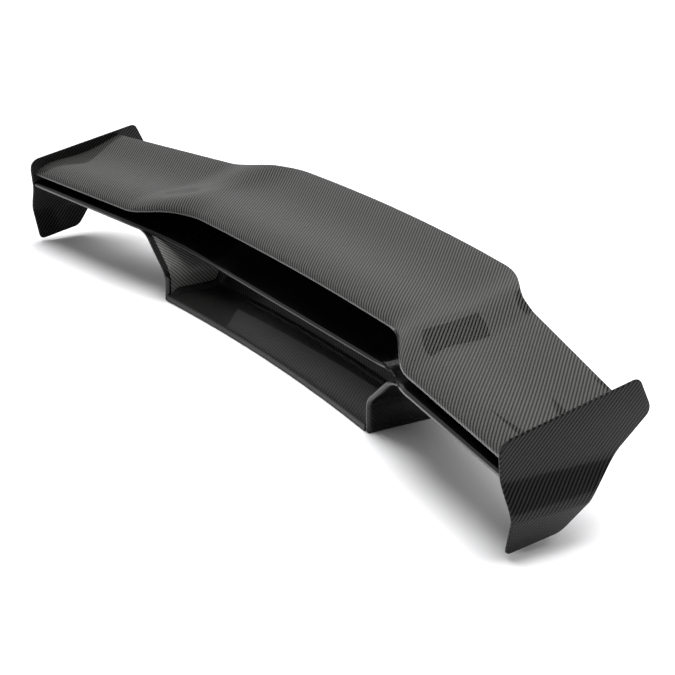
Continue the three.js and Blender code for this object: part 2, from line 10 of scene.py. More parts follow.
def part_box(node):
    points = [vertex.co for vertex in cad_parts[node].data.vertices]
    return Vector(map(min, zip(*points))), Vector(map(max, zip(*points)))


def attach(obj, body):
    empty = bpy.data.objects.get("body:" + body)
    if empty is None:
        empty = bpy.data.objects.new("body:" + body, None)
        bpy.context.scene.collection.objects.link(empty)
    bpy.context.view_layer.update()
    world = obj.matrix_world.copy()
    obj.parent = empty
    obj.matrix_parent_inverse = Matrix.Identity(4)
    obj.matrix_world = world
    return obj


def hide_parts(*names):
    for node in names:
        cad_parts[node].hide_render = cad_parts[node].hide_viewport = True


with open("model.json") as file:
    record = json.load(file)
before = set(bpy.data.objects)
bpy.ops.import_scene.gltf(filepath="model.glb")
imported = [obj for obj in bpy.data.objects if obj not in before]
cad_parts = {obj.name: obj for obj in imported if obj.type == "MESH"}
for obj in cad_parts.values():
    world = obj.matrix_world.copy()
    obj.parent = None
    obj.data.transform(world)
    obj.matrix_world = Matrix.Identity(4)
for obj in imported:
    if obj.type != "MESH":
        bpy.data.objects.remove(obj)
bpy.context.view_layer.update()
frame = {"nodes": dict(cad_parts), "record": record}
print("frame loaded:", len(frame["nodes"]), "nodes")

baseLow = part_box("base_skin")[0]

# Shape of the two planes, in metres. z is measured from the front top corner of the endplates.
planes = {
    "tipX": 0.8987,
    "middleX": 0.370,
    "camberHeight": 1.2,
    "camberCross": 0.4,
    "trailingDepth": 0.003,
    "deepestShare": 0.3,
    "noseShare": 0.035,
    "skin": 0.002,
    "skinJoint": 0.05,
    "jointGap": 0.0022,
    "gap": 0.0003,
    "denseFrom": 0.30,
    "denseTo": 0.58,
    "denseGain": 1.6,
}
# Each line in plan is bowed in the middle and straight outboard, with a step between.
leadingLine = {"middle": 0.161, "bow": 0.010, "tip": 0.0135, "slope": 0.165, "step": (0.360, 0.535)}
trailingLine = {"middle": 0.426, "bow": 0.020, "tip": 0.2206, "slope": 0.3075, "step": (0.350, 0.500)}
lipLine = {"middle": 0.154, "bow": 0.0, "tip": 0.0085, "slope": 0.15, "step": (0.310, 0.560)}
upper = {"noseDepth": 0.010, "depth": 0.018, "tipLeadingZ": -0.026, "tipTrailingZ": 0.033,
         "rise": 0.016, "step": (0.430, 0.555)}
blade = {"noseDepth": 0.010, "depth": 0.014, "share": 0.64, "tipLipZ": -0.055, "lipDrop": 0.046,
         "slotGap": 0.013, "hollow": 1.6}

# The base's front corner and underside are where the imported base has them.
baseFrontY = 0.087
baseBottomZ = -0.190
shiftY = baseLow.y - baseFrontY
shiftZ = baseLow.z - baseBottomZ


def toRow(points):
    return points + np.array([0.0, shiftY, shiftZ])


def smoothStep(x, low, high):
    t = np.clip((x - low) / (high - low), 0, 1)
    return t * t * (3 - 2 * t)


def planLine(x, line):
    share = smoothStep(np.abs(x), *line["step"])
    middle = line["middle"] - line["bow"] * (x / planes["middleX"]) ** 2
    outer = line["tip"] + line["slope"] * (planes["tipX"] - np.abs(x))
    return middle + (outer - middle) * share


def leadingY(x):
    return planLine(x, leadingLine)


def upperChord(x):
    return planLine(x, trailingLine) - leadingY(x)


def lipY(x):
    return planLine(x, lipLine)


def bladeChord(x):
    return leadingY(x) + blade["share"] * upperChord(x) - lipY(x)


def upperTopZ(x, u):
    camber = planes["camberHeight"] * upperChord(x) * u * (1 - u) ** 2 * (planes["camberCross"] - u)
    raised = upper["rise"] * (1 - smoothStep(np.abs(x), *upper["step"]))
    return upper["tipLeadingZ"] + (upper["tipTrailingZ"] - upper["tipLeadingZ"]) * u + raised + camber


def depthAt(u, plane):
    deepest = planes["deepestShare"]
    rising = u < deepest
    reach = np.where(rising, 1 - u / deepest, (u - deepest) / (1 - deepest))
    endDepth = np.where(rising, plane["noseDepth"], planes["trailingDepth"])
    return plane["depth"] - (plane["depth"] - endDepth) * reach ** 2


def bladeTopZ(x, u):
    share = blade["share"]
    lip = blade["tipLipZ"] - blade["lipDrop"] * (1 - smoothStep(np.abs(x), *lipLine["step"]))
    front = lip + blade["noseDepth"] / 2
    rear = upperTopZ(x, share) - depthAt(share, upper) - blade["slotGap"]
    return front + (rear - front) * np.clip(u, 0, 1) ** blade["hollow"]


def onUpper(x, u, depth):
    return leadingY(x) + u * upperChord(x), upperTopZ(x, u) - depth


def onBlade(x, u, depth):
    return lipY(x) + u * bladeChord(x), bladeTopZ(x, u) - depth


# Mesh helpers


def meshPiece(name, points, faces, weaveUv, sharpAngle=38):
    mesh = bpy.data.meshes.new(name)
    mesh.from_pydata([tuple(p) for p in points], [], faces)
    layer = mesh.uv_layers.new(name="weave")
    corners = np.array([loop.vertex_index for loop in mesh.loops])
    layer.uv.foreach_set("vector", np.asarray(weaveUv, np.float32)[corners].ravel())
    mesh.polygons.foreach_set("use_smooth", np.ones(len(mesh.polygons), bool))
    mesh.update()
    mesh.set_sharp_from_angle(angle=math.radians(sharpAngle))
    piece = bpy.data.objects.new(name, mesh)
    bpy.context.scene.collection.objects.link(piece)
    return piece


def loftPiece(name, rings, weaveRings, sharpAngle=38):
    # rings holds stations, points around and 3 coordinates; the loft closes around and is capped.
    stations, around, _ = rings.shape
    faces = []
    for i in range(stations - 1):
        for j in range(around):
            k = (j + 1) % around
            a, b = i * around, (i + 1) * around
            faces.append((a + j, a + k, b + k, b + j))
    faces.append(tuple(reversed(range(around))))
    faces.append(tuple((stations - 1) * around + j for j in range(around)))
    piece = meshPiece(name, rings.reshape(-1, 3), faces, weaveRings.reshape(-1, 2), sharpAngle)
    turnOutward(piece)
    return piece


def turnOutward(piece):
    work = bmesh.new()
    work.from_mesh(piece.data)
    if work.calc_volume(signed=True) < 0:
        bmesh.ops.reverse_faces(work, faces=work.faces)
    work.to_mesh(piece.data)
    work.free()


def spacedSpan(limit, count):
    # Stations stand closer together over the steps.
    fine = np.linspace(-1, 1, count * 8)
    reach = np.abs(fine) * limit
    weight = 1 + planes["denseGain"] * ((reach > planes["denseFrom"]) & (reach < planes["denseTo"]))
    total = np.concatenate([[0], np.cumsum((weight[1:] + weight[:-1]) / 2)])
    half = np.interp(np.linspace(0, total[-1], count), total, fine)
    return half * limit


def easedShares(low, high, count):
    t = np.linspace(0, 1, count)
    return low + (high - low) * (0.35 * t + 0.65 * (1 - np.cos(math.pi * t)) / 2)


def nosePoints(plane, count=14):
    half = depthAt(planes["noseShare"], plane) / 2
    turn = np.radians(np.linspace(90, -90, count))
    return planes["noseShare"] * (1 - np.cos(turn)), half - half * np.sin(turn)


def topWall(u, plane):
    return np.minimum(planes["skin"], depthAt(u, plane) / 2 - planes["gap"] / 2)


def bottomWall(u, plane):
    depth = depthAt(u, plane)
    return np.maximum(depth - planes["skin"], depth / 2 + planes["gap"] / 2)


def topSkinLoop(plane):
    outer = easedShares(planes["noseShare"], 1, 46)[::-1]
    noseU, noseDepth = nosePoints(plane)
    inner = easedShares(planes["skinJoint"], 1, 30)
    joint = planes["skinJoint"]
    flat = np.zeros(len(outer) - 1)
    u = np.concatenate([outer[:-1], noseU, [joint], inner])
    depth = np.concatenate([flat, noseDepth, [depthAt(joint, plane)], topWall(inner, plane)])
    return u, depth


def bottomSkinLoop(plane):
    start = planes["skinJoint"] + planes["jointGap"]
    shares = easedShares(start, 1, 40)
    u = np.concatenate([shares, shares[::-1]])
    depth = np.concatenate([bottomWall(shares, plane), depthAt(shares[::-1], plane)])
    return u, depth


def planePiece(name, loop, place, spanCount=190):
    # The cloth lies flat in plan and wraps down round the nose.
    u, depth = loop
    xs = spacedSpan(planes["tipX"], spanCount)
    x = xs[:, None] * np.ones(len(u))[None, :]
    below = np.broadcast_to(depth, x.shape)
    y, z = place(x, np.broadcast_to(u, x.shape), below)
    rings = toRow(np.stack([x, y, z], 2))
    weave = np.stack([x, y - below], 2)
    return loftPiece(name, rings, weave)


# Materials


def groupSocket(tree, name, inOut, kind, value=None):
    socket = tree.interface.new_socket(name=name, in_out=inOut, socket_type=kind)
    if value is not None:
        socket.default_value = value
    return socket


def mathNode(tree, operation, first, second=None, third=None):
    node = tree.nodes.new("ShaderNodeMath")
    node.operation = operation
    for i, value in enumerate((first, second, third)):
        if value is None:
            continue
        if isinstance(value, (int, float)):
            node.inputs[i].default_value = value
        else:
            tree.links.new(value, node.inputs[i])
    return node.outputs[0]


def twillGroup():
    # Two-by-two twill: which tow is on top, how it is crowned, and where the tows cross.
    tree = bpy.data.node_groups.new("twillWeave", "ShaderNodeTree")
    groupSocket(tree, "Place", "INPUT", "NodeSocketVector")
    groupSocket(tree, "Tow", "INPUT", "NodeSocketFloat", 0.0021)
    groupSocket(tree, "Wander", "INPUT", "NodeSocketFloat", 0.0004)
    groupSocket(tree, "Warp", "OUTPUT", "NodeSocketFloat")
    groupSocket(tree, "Height", "OUTPUT", "NodeSocketFloat")
    groupSocket(tree, "Fibre", "OUTPUT", "NodeSocketFloat")
    source = tree.nodes.new("NodeGroupInput").outputs
    result = tree.nodes.new("NodeGroupOutput").inputs

    wander = tree.nodes.new("ShaderNodeTexNoise")
    wander.inputs["Scale"].default_value = 9.0
    wander.inputs["Detail"].default_value = 1.0
    tree.links.new(source["Place"], wander.inputs["Vector"])
    centred = tree.nodes.new("ShaderNodeVectorMath")
    centred.operation = "SUBTRACT"
    tree.links.new(wander.outputs["Color"], centred.inputs[0])
    centred.inputs[1].default_value = (0.5, 0.5, 0.5)
    scaled = tree.nodes.new("ShaderNodeVectorMath")
    scaled.operation = "SCALE"
    tree.links.new(centred.outputs[0], scaled.inputs[0])
    tree.links.new(source["Wander"], scaled.inputs["Scale"])
    moved = tree.nodes.new("ShaderNodeVectorMath")
    moved.operation = "ADD"
    tree.links.new(source["Place"], moved.inputs[0])
    tree.links.new(scaled.outputs[0], moved.inputs[1])
    parts = tree.nodes.new("ShaderNodeSeparateXYZ")
    tree.links.new(moved.outputs[0], parts.inputs[0])

    across = mathNode(tree, "DIVIDE", parts.outputs["X"], source["Tow"])
    along = mathNode(tree, "DIVIDE", parts.outputs["Y"], source["Tow"])
    column = mathNode(tree, "FLOOR", across)
    row = mathNode(tree, "FLOOR", along)
    step = mathNode(tree, "FLOORED_MODULO", mathNode(tree, "ADD", column, row), 4.0)
    warpOnTop = mathNode(tree, "LESS_THAN", step, 1.5)

    def crown(value):
        inside = mathNode(tree, "SUBTRACT", mathNode(tree, "FRACT", value), 0.5)
        square = mathNode(tree, "MULTIPLY", inside, inside)
        return mathNode(tree, "SUBTRACT", 1.0, mathNode(tree, "MULTIPLY", square, 4.0))

    def pick(yes, no):
        mix = tree.nodes.new("ShaderNodeMix")
        tree.links.new(warpOnTop, mix.inputs["Factor"])
        tree.links.new(no, mix.inputs["A"])
        tree.links.new(yes, mix.inputs["B"])
        return mix.outputs["Result"]

    tree.links.new(warpOnTop, result["Warp"])
    tree.links.new(pick(crown(across), crown(along)), result["Height"])
    threads = mathNode(tree, "SINE", mathNode(tree, "MULTIPLY", pick(across, along), 60.0))
    tree.links.new(mathNode(tree, "MULTIPLY_ADD", threads, 0.5, 0.5), result["Fibre"])
    return tree


def filmGroup():
    # Slow unevenness of a hand-flatted lacquer, with faint dust in the broad hollows.
    tree = bpy.data.node_groups.new("lacquerFilm", "ShaderNodeTree")
    groupSocket(tree, "Place", "INPUT", "NodeSocketVector")
    groupSocket(tree, "Rough low", "INPUT", "NodeSocketFloat", 0.25)
    groupSocket(tree, "Rough high", "INPUT", "NodeSocketFloat", 0.40)
    groupSocket(tree, "Roughness", "OUTPUT", "NodeSocketFloat")
    groupSocket(tree, "Patch", "OUTPUT", "NodeSocketFloat")
    source = tree.nodes.new("NodeGroupInput").outputs
    result = tree.nodes.new("NodeGroupOutput").inputs
    noise = tree.nodes.new("ShaderNodeTexNoise")
    noise.inputs["Scale"].default_value = 7.0
    noise.inputs["Detail"].default_value = 4.0
    tree.links.new(source["Place"], noise.inputs["Vector"])
    spread = tree.nodes.new("ShaderNodeMapRange")
    spread.inputs["From Min"].default_value = 0.35
    spread.inputs["From Max"].default_value = 0.65
    tree.links.new(noise.outputs["Fac"], spread.inputs["Value"])
    tree.links.new(source["Rough low"], spread.inputs["To Min"])
    tree.links.new(source["Rough high"], spread.inputs["To Max"])
    tree.links.new(spread.outputs["Result"], result["Roughness"])
    tree.links.new(noise.outputs["Fac"], result["Patch"])
    return tree


twill = twillGroup()
film = filmGroup()


def newMaterial(name):
    material = bpy.data.materials.new(name)
    material.use_nodes = True
    tree = material.node_tree
    return material, tree, tree.nodes["Principled BSDF"]


def placed(tree, group, values):
    node = tree.nodes.new("ShaderNodeGroup")
    node.node_tree = group
    for name, value in values.items():
        if isinstance(value, (int, float)):
            node.inputs[name].default_value = value
        else:
            tree.links.new(value, node.inputs[name])
    return node.outputs


def filmValues(place, look):
    return {"Place": place, "Rough low": look["rough"][0], "Rough high": look["rough"][1]}


def laminate(name, look):
    material, tree, shader = newMaterial(name)
    uv = tree.nodes.new("ShaderNodeUVMap")
    uv.uv_map = "weave"
    weave = placed(tree, twill, {"Place": uv.outputs["UV"], "Tow": look["tow"], "Wander": look["wander"]})
    lacquer = placed(tree, film, filmValues(uv.outputs["UV"], look))
    # The light warp against the near-black weft is painted sheen over the real twill pattern: it stands in
    # for the fibres' changing reflection.
    tone = tree.nodes.new("ShaderNodeMix")
    tone.data_type = "RGBA"
    tone.inputs["A"].default_value = (*look["weft"], 1)
    tone.inputs["B"].default_value = (*look["warp"], 1)
    tree.links.new(weave["Warp"], tone.inputs["Factor"])
    shade = tree.nodes.new("ShaderNodeMix")
    shade.data_type = "RGBA"
    shade.blend_type = "MULTIPLY"
    shade.inputs["Factor"].default_value = 1.0
    tree.links.new(tone.outputs["Result"], shade.inputs["A"])
    depth = tree.nodes.new("ShaderNodeMapRange")
    depth.inputs["To Min"].default_value = look["valley"]
    depth.inputs["To Max"].default_value = 1.0
    tree.links.new(weave["Height"], depth.inputs["Value"])
    threads = mathNode(tree, "MULTIPLY_ADD", weave["Fibre"], look["fibre"], 1 - look["fibre"])
    fibre = mathNode(tree, "MULTIPLY", depth.outputs["Result"], threads)
    cloud = mathNode(tree, "MULTIPLY_ADD", lacquer["Patch"], look["cloud"], 1 - look["cloud"] / 2)
    patch = mathNode(tree, "MULTIPLY", fibre, cloud)
    tree.links.new(patch, shade.inputs["B"])
    tree.links.new(shade.outputs["Result"], shader.inputs["Base Color"])
    tree.links.new(lacquer["Roughness"], shader.inputs["Roughness"])
    bump = tree.nodes.new("ShaderNodeBump")
    bump.inputs["Strength"].default_value = look["bump"]
    bump.inputs["Distance"].default_value = look["crown"]
    tree.links.new(weave["Height"], bump.inputs["Height"])
    tree.links.new(bump.outputs["Normal"], shader.inputs["Normal"])
    shader.inputs["Metallic"].default_value = look["metal"]
    shader.inputs["Coat Weight"].default_value = look["coat"]
    shader.inputs["Coat Roughness"].default_value = look["coatRough"]
    shader.inputs["Coat IOR"].default_value = look["coatIor"]
    shader.inputs["Specular IOR Level"].default_value = look["specular"]
    return material


twillLook = {
    "tow": 0.0021,
    "wander": 0.0006,
    "rough": (0.30, 0.42),
    "bump": 0.5,
    "crown": 0.00012,
    "fibre": 0.15,
    "cloud": 0.4,
    "metal": 0.2,
    "coat": 0.75,
    "coatRough": 0.03,
    "coatIor": 1.5,
    "specular": 0.08,
    # Warp and weft tones carry painted sheen: light warp and near-black weft over the real twill pattern.
    "warp": (0.092, 0.092, 0.088),
    "weft": (0.0015, 0.0015, 0.0018),
    "valley": 0.65,
}
shadedWeft = (0.0012, 0.0012, 0.0014)
# Endplate copy of the twill with painted shade: darker warp, shaded weft and a thinner coat on the upright
# plates.
plateShadeLook = {**twillLook, "warp": (0.034, 0.034, 0.033), "weft": shadedWeft, "coat": 0.14}
# Base copy of the twill with painted shade: darker warp and shaded weft for the ducktail lying in the wing's
# shadow.
baseShadeLook = {**twillLook, "warp": (0.036, 0.036, 0.035), "weft": shadedWeft, "coat": 0.22}
# Fin shell copy of the twill with painted shade: the near-black warp stands in for the shade and dark
# reflection on the fins' outer faces.
finShadeLook = {**twillLook, "warp": (0.006, 0.006, 0.006), "coat": 0.6, "coatRough": 0.02}
# Fin cover copy of the twill with a painted reflection: the light grey warp and weft stand in for the bright
# surroundings seen in the fins' inner faces.
coverReflectionLook = {**twillLook, "warp": (0.26, 0.26, 0.25), "weft": (0.10, 0.10, 0.10)}
blackLook = {**twillLook, "warp": (0.003, 0.003, 0.0033), "weft": (0.002, 0.002, 0.0022),
             "metal": 0.1, "bump": 0.10}
carbonTwill = laminate("carbonTwill", twillLook)
plateShadedTwill = laminate("endplateShadedTwill", plateShadeLook)
baseShadedTwill = laminate("baseShadedTwill", baseShadeLook)
finShadedTwill = laminate("finShadedTwill", finShadeLook)
coverReflectionTwill = laminate("coverReflectionTwill", coverReflectionLook)
blackLaminate = laminate("blackLaminate", blackLook)


def plainFinish(name, look):
    # Worked metal, foam and rubber: grain, uneven colour and a rougher film in the hollows.
    material, tree, shader = newMaterial(name)
    coordinates = tree.nodes.new("ShaderNodeTexCoord")
    stretch = tree.nodes.new("ShaderNodeMapping")
    stretch.inputs["Scale"].default_value = look["grainScale"]
    tree.links.new(coordinates.outputs["Object"], stretch.inputs["Vector"])
    grain = tree.nodes.new("ShaderNodeTexNoise")
    grain.inputs["Scale"].default_value = 1.0
    grain.inputs["Detail"].default_value = 6.0
    tree.links.new(stretch.outputs["Vector"], grain.inputs["Vector"])
    tone = tree.nodes.new("ShaderNodeValToRGB")
    tone.color_ramp.elements[0].position = 0.3
    tone.color_ramp.elements[0].color = (*look["dark"], 1)
    tone.color_ramp.elements[1].position = 0.7
    tone.color_ramp.elements[1].color = (*look["light"], 1)
    tree.links.new(grain.outputs["Fac"], tone.inputs["Fac"])
    tree.links.new(tone.outputs["Color"], shader.inputs["Base Color"])
    lacquer = placed(tree, film, filmValues(coordinates.outputs["Object"], look))
    tree.links.new(lacquer["Roughness"], shader.inputs["Roughness"])
    bump = tree.nodes.new("ShaderNodeBump")
    bump.inputs["Strength"].default_value = look["bump"]
    bump.inputs["Distance"].default_value = look["grainDepth"]
    tree.links.new(grain.outputs["Fac"], bump.inputs["Height"])
    tree.links.new(bump.outputs["Normal"], shader.inputs["Normal"])
    shader.inputs["Metallic"].default_value = look["metal"]
    return material


finishLooks = {
    "alloy": {"name": "brushedAlloy", "grainScale": (40, 900, 900), "rough": (0.28, 0.42),
              "dark": (0.42, 0.43, 0.45), "light": (0.62, 0.63, 0.65), "bump": 0.12, "metal": 1.0},
    "steel": {"name": "zincSteel", "grainScale": (700, 700, 60), "rough": (0.25, 0.40),
              "dark": (0.34, 0.35, 0.37), "light": (0.52, 0.53, 0.55), "bump": 0.10, "metal": 1.0},
    "foam_core": {"name": "coreFoam", "grainScale": (900, 900, 900), "rough": (0.75, 0.90),
                  "dark": (0.40, 0.33, 0.20), "light": (0.58, 0.50, 0.34), "bump": 0.7, "metal": 0.0},
    "seal_rubber": {"name": "sealRubber", "grainScale": (1200, 1200, 1200), "rough": (0.62, 0.80),
                    "dark": (0.012, 0.012, 0.012), "light": (0.028, 0.028, 0.028),
                    "bump": 0.35, "metal": 0.0},
    "black_carbon": {"name": "panelLaminate", "grainScale": (300, 300, 300), "rough": (0.22, 0.35),
                     "dark": (0.008, 0.008, 0.009), "light": (0.02, 0.02, 0.021), "bump": 0.08, "metal": 0.0},
}
grainDepth = 0.0004
finishes = {slotName: plainFinish(look["name"], {**look, "grainDepth": grainDepth})
            for slotName, look in finishLooks.items()}
finishes["carbon_twill"] = carbonTwill
for part in frame["record"]["subparts"]:
    node = frame["nodes"][part["node"]]
    node.data.materials.clear()
    node.data.materials.append(finishes[part["material_slot"]])
print("finishes ready")


def finishPiece(piece, material, slotName, *nodes):
    piece.data.materials.append(material)
    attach(piece, "root")
    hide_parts(*nodes)


# Planes
planePieces = [
    ("upperPlaneTop", topSkinLoop(upper), onUpper, carbonTwill, "carbon_twill", "upper_plane_top_skin"),
    ("upperPlaneUnderside", bottomSkinLoop(upper), onUpper, blackLaminate, "black_carbon",
     "upper_plane_bottom_skin"),
    ("bladeTop", topSkinLoop(blade), onBlade, blackLaminate, "black_carbon", "blade_top_skin"),
    ("bladeUnderside", bottomSkinLoop(blade), onBlade, carbonTwill, "carbon_twill", "blade_bottom_skin"),
]
for name, loop, place, material, slotName, node in planePieces:
    finishPiece(planePiece(name, loop, place), material, slotName, node)
print("planes built")

# Endplates
plate = {
    "outerX": 0.9049,
    "thickness": 0.006,
    "lead": 0.013,
    "edgeRadius": 0.0026,
    "corners": [(0.0, 0.0, 0.025), (0.017, -0.187, 0.012), (0.116, -0.170, 0.012),
                (0.170, -0.109, 0.015), (0.291, -0.006, 0.016), (0.263, 0.052, 0.012)],
    "flareTopZ": -0.054,
    "flareFoldZ": -0.122,
    "flareBottomZ": -0.187,
    "flareOut": 0.024,
    "tuckIn": 0.022,
    "rowSpacing": 0.004,
    "rowsTo": -0.2,
    "sharpAngle": 50,
}


def plateFlare(z):
    fold = plate["flareFoldZ"]
    out = plate["flareOut"] * smoothStep(-z, -plate["flareTopZ"], -fold)
    tuck = plate["flareOut"] - plate["tuckIn"] * (fold - z) / (fold - plate["flareBottomZ"])
    return np.where(z > fold, out, tuck)


def roundedOutline(corners, perCorner=10):
    points = []
    for i, (a, b, radius) in enumerate(corners):
        corner = np.array([a, b])
        before = np.array(corners[i - 1][:2]) - corner
        after = np.array(corners[(i + 1) % len(corners)][:2]) - corner
        start = corner + before / np.linalg.norm(before) * radius
        end = corner + after / np.linalg.norm(after) * radius
        for t in np.linspace(0, 1, perCorner):
            points.append((1 - t) ** 2 * start + 2 * t * (1 - t) * corner + t * t * end)
    return np.array(points)


def endplatePiece(name, side):
    outline = roundedOutline(plate["corners"])
    tangent = np.roll(outline, -1, 0) - np.roll(outline, 1, 0)
    tangent /= np.linalg.norm(tangent, axis=1)[:, None]
    inward = np.stack([-tangent[:, 1], tangent[:, 0]], 1)
    radius = plate["edgeRadius"]
    half = plate["thickness"] / 2
    rings = []
    for turn in np.radians(np.linspace(-90, 90, 9)):
        inset = radius * (1 - math.cos(turn))
        across = math.copysign(half - radius, turn) + radius * math.sin(turn) if turn else 0.0
        loop = outline + inward * inset
        rings.append(np.stack([np.full(len(loop), across), loop[:, 0], loop[:, 1]], 1))
    rings = np.array(rings)
    piece = loftPiece(name, rings, rings[:, :, 1:] * np.array([-1.0, 1.0]), plate["sharpAngle"])
    work = bmesh.new()
    work.from_mesh(piece.data)
    for z in np.arange(plate["flareTopZ"], plate["rowsTo"], -plate["rowSpacing"]):
        geometry = list(work.verts) + list(work.edges) + list(work.faces)
        bmesh.ops.bisect_plane(work, geom=geometry, plane_co=(0, 0, z), plane_no=(0, 0, 1))
    work.to_mesh(piece.data)
    work.free()
    frontY = float(leadingY(planes["tipX"])) - plate["lead"]
    middleX = plate["outerX"] - half
    count = len(piece.data.vertices)
    places = np.empty(count * 3)
    piece.data.vertices.foreach_get("co", places)
    places = places.reshape(-1, 3)
    places[:, 0] = side * (places[:, 0] + middleX + plateFlare(places[:, 2]))
    places[:, 1] += frontY
    piece.data.vertices.foreach_set("co", toRow(places).ravel())
    piece.data.update()
    turnOutward(piece)
    piece.data.set_sharp_from_angle(angle=math.radians(plate["sharpAngle"]))
    return piece


finishPiece(endplatePiece("endplateRight", 1), plateShadedTwill, "carbon_twill", "endplate_right")
finishPiece(endplatePiece("endplateLeft", -1), plateShadedTwill, "carbon_twill", "endplate_left")
print("endplates built")

# Fins
fin = {
    "x": 0.397,
    "thickness": 0.013,
    "bendZ": -0.150,
    "bendRadius": 0.035,
    "topX": 0.500,
    "fillet": 0.060,
    "feather": 0.0045,
    "frontY": 0.087,
    "rearY": 0.290,
    "topRearY": 0.236,
    "coverEdge": 0.009,
    "coverSkin": 0.0025,
    "coverGap": 0.0003,
    "gap": 0.0008,
    "topFrontSetBack": 0.002,
    "frontBendZ": -0.080,
    "rearBendZ": -0.040,
    "sharpAngle": 40,
}


def finCeiling(y):
    u = np.clip((y - lipY(fin["topX"])) / bladeChord(fin["topX"]), planes["noseShare"], 1)
    return bladeTopZ(fin["topX"], u) - depthAt(u, blade)


def finPath(y):
    # Foot, bend, straight and fillet, as points and outward normals evenly spread by part.
    rise = float(finCeiling(y)) + fin["thickness"] / 2 - fin["feather"] - fin["bendZ"]
    bend, fillet = fin["bendRadius"], fin["fillet"]

    def straightFor(turn):
        return (rise - bend * math.sin(turn) - fillet * (1 - math.sin(turn))) / math.cos(turn)

    low, high = 0.0, 1.4
    for _ in range(40):
        turn = (low + high) / 2
        reach = bend * (1 - math.cos(turn)) + straightFor(turn) * math.sin(turn) + fillet * math.cos(turn)
        low, high = (turn, high) if reach < fin["topX"] - fin["x"] else (low, turn)
    turn = low
    points, leans = [], []
    for z in np.linspace(baseBottomZ, fin["bendZ"], 6)[:-1]:
        points.append((fin["x"], z))
        leans.append(0.0)
    for angle in np.linspace(0, turn, 10):
        points.append((fin["x"] + bend * (1 - math.cos(angle)), fin["bendZ"] + bend * math.sin(angle)))
        leans.append(angle)
    bendX, bendZ = points[-1]
    straight = straightFor(turn)
    startX, startZ = bendX + straight * math.sin(turn), bendZ + straight * math.cos(turn)
    for share in np.linspace(0, 1, 12)[1:-1]:
        points.append((bendX + share * (startX - bendX), bendZ + share * (startZ - bendZ)))
        leans.append(turn)
    for angle in np.linspace(turn, math.pi / 2, 14):
        filletX = fillet * (math.cos(turn) - math.cos(angle))
        filletZ = fillet * (math.sin(angle) - math.sin(turn))
        points.append((startX + filletX, startZ + filletZ))
        leans.append(angle)
    return np.array(points), np.array(leans)


def bladeUnderside(x, y):
    u = np.clip((y - lipY(x)) / bladeChord(x), 0.0, 1)
    nose = planes["noseShare"]
    rounding = depthAt(nose, blade) / 2 * (1 + np.sqrt(np.clip(1 - (1 - u / nose) ** 2, 0, 1)))
    depth = np.where(u < nose, rounding, depthAt(u, blade))
    return bladeTopZ(x, u) - depth


def finBounds(z):
    # Front and rear edges of a fin at a height.
    topFront = lipY(fin["topX"]) + fin["topFrontSetBack"]
    front = np.interp(z, [fin["bendZ"], fin["frontBendZ"]], [fin["frontY"], topFront])
    rear = np.interp(z, [baseBottomZ, fin["rearBendZ"]], [fin["rearY"], fin["topRearY"]])
    return front, rear


def finPiece(name, side, section):
    # The section is a closed loop: distance from the front edge or from the rear edge, and across.
    probe = finPath(fin["frontY"])[0]
    rows = len(probe)
    fromFront, fromRear, across = section
    count = len(across)
    rings = np.zeros((rows, count, 3))
    weave = np.zeros((rows, count, 2))
    for j in range(count):
        y = np.full(rows, (fin["frontY"] + fin["rearY"]) / 2)
        heights = probe[:, 1]
        for attempt in range(3):
            if attempt:
                heights = np.array([finPath(value)[0][i][1] for i, value in enumerate(y)])
            front, rear = finBounds(heights)
            y = np.where(np.isnan(fromFront[j]), rear - fromRear[j], front + np.nan_to_num(fromFront[j]))
        for i in range(rows):
            points, leans = finPath(y[i])
            x = points[i, 0] + across[j] * math.cos(leans[i])
            z = points[i, 1] - across[j] * math.sin(leans[i])
            z = min(z, float(bladeUnderside(x, y[i])) - fin["gap"])
            rings[i, j] = (x, y[i], z)
            length = np.hypot(*np.diff(points[: i + 1], axis=0).T).sum() if i else 0.0
            weave[i, j] = (y[i], length)
    rings[:, :, 0] *= side
    return loftPiece(name, toRow(rings), weave, fin["sharpAngle"])


def finShellSection():
    half = fin["thickness"] / 2
    edge, skin = fin["coverEdge"], fin["coverSkin"]
    nan = float("nan")
    loop = []
    for turn in np.radians(np.linspace(-90, 90, 13)):
        loop.append((half * 1.5 * (1 - math.cos(turn)), nan, half * math.sin(turn)))
    loop += [(0.03, nan, half), (0.07, nan, half), (nan, 0.06, half), (nan, 0.02, half * 0.98)]
    loop += [(nan, 0.001, half - 0.0012), (nan, 0.0, half - 0.003)]
    loop += [(nan, 0.0, 0.003 - half), (nan, 0.001, 0.0012 - half)]
    loop += [(nan, edge, -half), (nan, edge, skin - half), (nan, 0.06, skin - half), (0.07, nan, skin - half)]
    loop += [(edge + 0.0015, nan, skin - half), (edge + 0.0015, nan, -half)]
    return [np.array(values) for values in zip(*loop)]


def finCoverSection():
    half = fin["thickness"] / 2
    gap, skin = fin["coverGap"], fin["coverSkin"] - fin["coverGap"]
    front, rear = fin["coverEdge"] + 0.0015 + gap, fin["coverEdge"] + gap
    nan = float("nan")
    run = [(front, nan), (0.04, nan), (0.07, nan), (nan, 0.06), (nan, rear)]
    loop = [(*place, -half) for place in run] + [(*place, skin - half) for place in reversed(run)]
    return [np.array(values) for values in zip(*loop)]


for label, side in (("Right", 1), ("Left", -1)):
    shell = finPiece("finShell" + label, side, finShellSection())
    finishPiece(shell, finShadedTwill, "carbon_twill", "fin_outer_shell_" + label.lower())
    cover = finPiece("finCover" + label, side, finCoverSection())
    finishPiece(cover, coverReflectionTwill, "carbon_twill", "fin_inner_cover_" + label.lower())
print("fins built")

